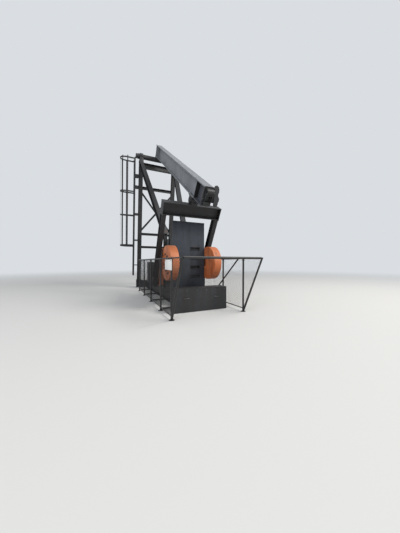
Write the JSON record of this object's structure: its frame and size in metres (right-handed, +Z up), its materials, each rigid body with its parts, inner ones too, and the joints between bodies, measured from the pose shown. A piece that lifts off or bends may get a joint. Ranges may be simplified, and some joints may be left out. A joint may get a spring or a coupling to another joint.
{
  "type": "pumpjack",
  "caption": "Front-mounted beam pumping unit: rear post, sloping walking beam, yoke and pitmans, cranks with orange weights, step plate, guards and caged ladder; horsehead off.",
  "frame": {"origin": "on the ground under the crank shaft, in the middle plane of the unit", "axes": "X forwards along the skid towards the well, Y across the unit along the crank shaft, Z up from the ground"},
  "size_m": [8.4102, 3.1001, 7.7292],
  "materials": {
    "dark_paint": "matt, weathered",
    "rail_paint": "semi-gloss",
    "plate_paint": "matt",
    "orange_paint": "matt, weathered",
    "light_paint": "matt, weathered",
    "motor_paint": "satin",
    "bare_iron": "oiled",
    "belt_rubber": "matt"
  },
  "bodies": {
    "frame": {"skid_rails": "dark_paint", "skid_crossbars": "dark_paint", "front_box": "dark_paint", "rear_crossbeam": "dark_paint", "pedestal": "dark_paint", "gear_case": "dark_paint", "gear_cover": "dark_paint", "shaft_bearings": "dark_paint", "step_plate": "plate_paint", "plate_posts": "dark_paint", "front_posts": "dark_paint", "front_leg_left": "dark_paint", "front_leg_right": "dark_paint", "rear_leg_left": "dark_paint", "rear_leg_right": "dark_paint", "head_beam": "dark_paint", "lateral_bars": "dark_paint", "cross_brace": "dark_paint", "pivot_bearings": "dark_paint", "ladder": "dark_paint", "ladder_brackets": "dark_paint", "cage_hoops": "dark_paint", "cage_straps": "dark_paint", "guard_left": "rail_paint", "guard_right": "rail_paint", "guard_front_rail": "rail_paint", "guard_stays": "rail_paint", "belt_guard": "dark_paint", "sheaves": "bare_iron", "drive_belt": "belt_rubber", "motor": "motor_paint", "motor_base": "dark_paint", "control_cabinet": "dark_paint"},
    "crank": {"crank_shaft": "bare_iron", "crank_left": "orange_paint", "crank_right": "orange_paint", "counterweights": "orange_paint", "wrist_pins": "bare_iron"},
    "walking_beam_body": {"walking_beam": "light_paint", "cross_tube": "dark_paint", "yoke_hanger": "dark_paint", "horsehead_bracket": "dark_paint"},
    "pitman_frame": {"yoke": "dark_paint", "yoke_bearing": "dark_paint", "pitmans": "dark_paint", "wrist_bearings": "dark_paint"}
  },
  "joints": [
    {"name": "crank_shaft", "type": "hinge", "parent": "frame", "child": "crank", "pos_m": [0, 0, 1.7], "axis": [0, 1, 0], "range_deg": [0, 180]},
    {"name": "beam_pivot", "type": "hinge", "parent": "frame", "child": "walking_beam_body", "pos_m": [-3.94, 0, 7.02], "axis": [0, -1, 0], "range_deg": [0, 21.75]},
    {"name": "yoke_bearing", "type": "hinge", "parent": "walking_beam_body", "child": "pitman_frame", "pos_m": [1.03, 0, 3.47], "axis": [0, -1, 0], "range_deg": [-18.82, 0]}
  ],
  "couplings": [
    {"joint": "beam_pivot", "follows": "crank_shaft", "ratio": 0.12086},
    {"joint": "yoke_bearing", "follows": "crank_shaft", "ratio": -0.10457}
  ]
}
